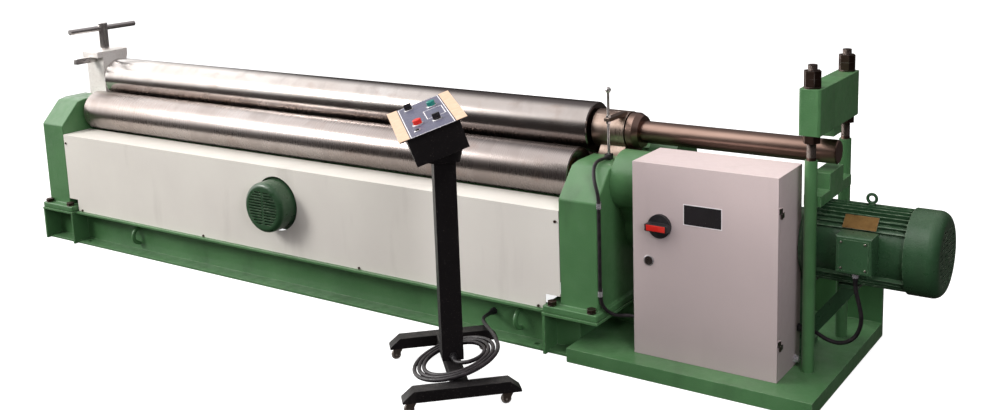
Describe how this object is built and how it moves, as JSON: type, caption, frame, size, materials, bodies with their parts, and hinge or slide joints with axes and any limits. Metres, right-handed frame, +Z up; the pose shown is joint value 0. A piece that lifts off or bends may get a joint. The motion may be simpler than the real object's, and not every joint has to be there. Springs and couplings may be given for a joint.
{
  "type": "plate rolling machine",
  "caption": "Three-roll plate rolling machine with a lifting top roll, a tipping end bearing, a geared roll drive, an electrical cabinet and a wheeled control console.",
  "frame": {"origin": "on the floor, at the middle of the four foundation bolts, under the middle of the top roll", "axes": "+X along the rolls towards the drive end, +Y from the front cover to the back, +Z up"},
  "size_m": [4.9025, 1.6467, 1.2638],
  "materials": {
    "green_paint": "gloss enamel",
    "white_paint": "fine texture coat",
    "black_paint": "satin coat",
    "bright_steel": "ground and oiled",
    "dark_steel": "machined",
    "zinc": "zinc plated",
    "bronze": "bored",
    "black_plastic": "matt",
    "red_plastic": "gloss",
    "green_plastic": "gloss",
    "black_rubber": "matt sheath",
    "grey_rubber": "worn tread"
  },
  "bodies": {
    "frame": {"base_frame": "green_paint", "drive_platform": "green_paint", "left_housing": "green_paint", "right_housing": "green_paint", "fasteners": "zinc", "front_cover": "white_paint", "lower_roll_bushes": "bronze", "lift_gear_cases": "green_paint", "lift_motor_cowl": "green_paint", "gear_guard": "green_paint", "reducer": "green_paint", "main_motor": "green_paint", "fan_cowl": "green_paint", "terminal_box": "green_paint", "tail_posts": "green_paint", "post_studs": "dark_steel", "hold_down_beam": "green_paint", "cabinet_body": "white_paint", "limit_switch": "black_plastic", "conduit": "black_rubber", "console_stand": "black_paint", "console_head": "black_paint", "cable_glands": "black_plastic", "motor_cable": "black_rubber", "console_coil": "black_rubber", "console_lead": "black_rubber"},
    "front_roll": {"front_lower_roll": "bright_steel", "front_roll_gear": "dark_steel"},
    "back_roll": {"back_lower_roll": "bright_steel", "back_roll_gear": "dark_steel"},
    "drive_wheel": {"drive_gear": "dark_steel"},
    "rotor": {"motor_rotor": "dark_steel"},
    "right_lift": {"right_bearing_block": "dark_steel", "top_roll_bush": "bronze", "limit_rod": "zinc"},
    "left_lift": {"left_lift_block": "dark_steel", "tipping_pin": "bright_steel"},
    "lifting_roll": {"top_roll": "bright_steel"},
    "tipping_arm": {"tipping_bearing": "bright_steel", "tipping_bush": "bronze"},
    "locking_bar": {"lock_bar": "dark_steel"},
    "clamp": {"clamp_screw": "bright_steel"},
    "right_nut": {"right_worm_wheel": "bronze"},
    "left_nut": {"left_worm_wheel": "bronze"},
    "lift_shaft": {"cross_shaft": "dark_steel"},
    "door": {"cabinet_door": "white_paint"},
    "isolator": {"isolator_handle": "black_plastic"},
    "lock": {"door_lock": "zinc"},
    "stop": {"stop_button": "red_plastic"},
    "start": {"start_button": "green_plastic"},
    "lift_switch": {"lift_selector": "black_plastic"},
    "turn_switch": {"turn_selector": "black_plastic"},
    "front_left_swivel": {"front_left_castor_fork": "zinc"},
    "front_left_wheel": {"front_left_castor_wheel": "grey_rubber"},
    "back_left_swivel": {"back_left_castor_fork": "zinc"},
    "back_left_wheel": {"back_left_castor_wheel": "grey_rubber"},
    "front_right_swivel": {"front_right_castor_fork": "zinc"},
    "front_right_wheel": {"front_right_castor_wheel": "grey_rubber"},
    "back_right_swivel": {"back_right_castor_fork": "zinc"},
    "back_right_wheel": {"back_right_castor_wheel": "grey_rubber"}
  },
  "joints": [
    {"name": "front_roll_spin", "type": "hinge", "parent": "frame", "child": "front_roll", "pos_m": [0, -0.165, 0.725], "axis": [1, 0, 0], "continuous": true},
    {"name": "back_roll_spin", "type": "hinge", "parent": "frame", "child": "back_roll", "pos_m": [0, 0.165, 0.725], "axis": [1, 0, 0], "continuous": true},
    {"name": "drive_gear_spin", "type": "hinge", "parent": "frame", "child": "drive_wheel", "pos_m": [0, 0, 0.53985], "axis": [1, 0, 0], "continuous": true},
    {"name": "motor_spin", "type": "hinge", "parent": "frame", "child": "rotor", "pos_m": [0, 0, 0.53985], "axis": [1, 0, 0], "continuous": true},
    {"name": "lift_shaft_turn", "type": "hinge", "parent": "frame", "child": "lift_shaft", "pos_m": [0, -0.093, 0.362], "axis": [1, 0, 0], "range_deg": [-18000, 18000]},
    {"name": "right_nut_turn", "type": "hinge", "parent": "frame", "child": "right_nut", "pos_m": [1.72, 0, 0.362], "axis": [0, 0, 1], "range_deg": [-600, 600]},
    {"name": "left_nut_turn", "type": "hinge", "parent": "frame", "child": "left_nut", "pos_m": [-1.72, 0, 0.362], "axis": [0, 0, 1], "range_deg": [-600, 600]},
    {"name": "right_lift_slide", "type": "slide", "parent": "frame", "child": "right_lift", "axis": [0, 0, 1], "range_m": [-0.02, 0.02]},
    {"name": "left_lift_slide", "type": "slide", "parent": "frame", "child": "left_lift", "axis": [0, 0, 1], "range_m": [-0.02, 0.02]},
    {"name": "top_roll_spin", "type": "hinge", "parent": "right_lift", "child": "lifting_roll", "pos_m": [0, 0, 0.89233], "axis": [1, 0, 0], "continuous": true},
    {"name": "bearing_tip", "type": "hinge", "parent": "left_lift", "child": "tipping_arm", "pos_m": [-1.72, 0, 0.70233], "axis": [0, -1, 0], "range_deg": [0, 90]},
    {"name": "lock_bar_slide", "type": "slide", "parent": "tipping_arm", "child": "locking_bar", "axis": [0, -1, 0], "range_m": [0, 0.12]},
    {"name": "clamp_turn", "type": "hinge", "parent": "tipping_arm", "child": "clamp", "pos_m": [-1.72, 0, 0.89233], "axis": [0, 0, 1], "range_deg": [-180, 180]},
    {"name": "door_swing", "type": "hinge", "parent": "frame", "child": "door", "pos_m": [2.56, -0.345, 0.4], "axis": [0, 0, 1], "range_deg": [0, 110]},
    {"name": "isolator_turn", "type": "hinge", "parent": "door", "child": "isolator", "pos_m": [2.077, -0.367, 0.614], "axis": [0, 1, 0], "range_deg": [0, 90]},
    {"name": "lock_turn", "type": "hinge", "parent": "door", "child": "lock", "pos_m": [2.025, -0.367, 0.464], "axis": [0, 1, 0], "range_deg": [0, 90]},
    {"name": "stop_press", "type": "slide", "parent": "frame", "child": "stop", "axis": [0.2242, 0.2175, -0.95], "range_m": [0, 0.005], "stiffness_N_per_m": 800, "springref_m": -0.003},
    {"name": "start_press", "type": "slide", "parent": "frame", "child": "start", "axis": [0.2242, 0.2175, -0.95], "range_m": [0, 0.005], "stiffness_N_per_m": 800, "springref_m": -0.003},
    {"name": "lift_select", "type": "hinge", "parent": "frame", "child": "lift_switch", "pos_m": [1.1708, -0.77026, 1.07295], "axis": [-0.2242, -0.2175, 0.95], "range_deg": [-45, 45]},
    {"name": "turn_select", "type": "hinge", "parent": "frame", "child": "turn_switch", "pos_m": [1.45376, -0.95552, 1.09731], "axis": [-0.2242, -0.2175, 0.95], "range_deg": [-45, 45]},
    {"name": "front_left_castor_swivel", "type": "hinge", "parent": "frame", "child": "front_left_swivel", "pos_m": [1.42758, -1.1502, 0.02], "axis": [0, 0, 1], "continuous": true},
    {"name": "front_left_wheel_spin", "type": "hinge", "parent": "front_left_swivel", "child": "front_left_wheel", "pos_m": [1.41609, -1.16135, 0.02], "axis": [-0.6963, 0.7178, 0], "continuous": true},
    {"name": "back_left_castor_swivel", "type": "hinge", "parent": "frame", "child": "back_left_swivel", "pos_m": [1.06342, -0.77482, 0.02], "axis": [0, 0, 1], "continuous": true},
    {"name": "back_left_wheel_spin", "type": "hinge", "parent": "back_left_swivel", "child": "back_left_wheel", "pos_m": [1.05193, -0.78596, 0.02], "axis": [-0.6963, 0.7178, 0], "continuous": true},
    {"name": "front_right_castor_swivel", "type": "hinge", "parent": "frame", "child": "front_right_swivel", "pos_m": [1.69458, -0.89119, 0.02], "axis": [0, 0, 1], "continuous": true},
    {"name": "front_right_wheel_spin", "type": "hinge", "parent": "front_right_swivel", "child": "front_right_wheel", "pos_m": [1.6831, -0.90233, 0.02], "axis": [-0.6963, 0.7178, 0], "continuous": true},
    {"name": "back_right_castor_swivel", "type": "hinge", "parent": "frame", "child": "back_right_swivel", "pos_m": [1.33042, -0.5158, 0.02], "axis": [0, 0, 1], "continuous": true},
    {"name": "back_right_wheel_spin", "type": "hinge", "parent": "back_right_swivel", "child": "back_right_wheel", "pos_m": [1.31894, -0.52694, 0.02], "axis": [-0.6963, 0.7178, 0], "continuous": true}
  ],
  "couplings": [
    {"joint": "back_roll_spin", "follows": "front_roll_spin", "ratio": 1},
    {"joint": "drive_gear_spin", "follows": "front_roll_spin", "ratio": -0.72222},
    {"joint": "motor_spin", "follows": "front_roll_spin", "ratio": -72.222},
    {"joint": "right_nut_turn", "follows": "right_lift_slide", "rad_per_m": 523.59},
    {"joint": "left_nut_turn", "follows": "right_lift_slide", "rad_per_m": 523.59},
    {"joint": "lift_shaft_turn", "follows": "right_lift_slide", "rad_per_m": 15708},
    {"joint": "left_lift_slide", "follows": "right_lift_slide", "ratio": 1}
  ]
}
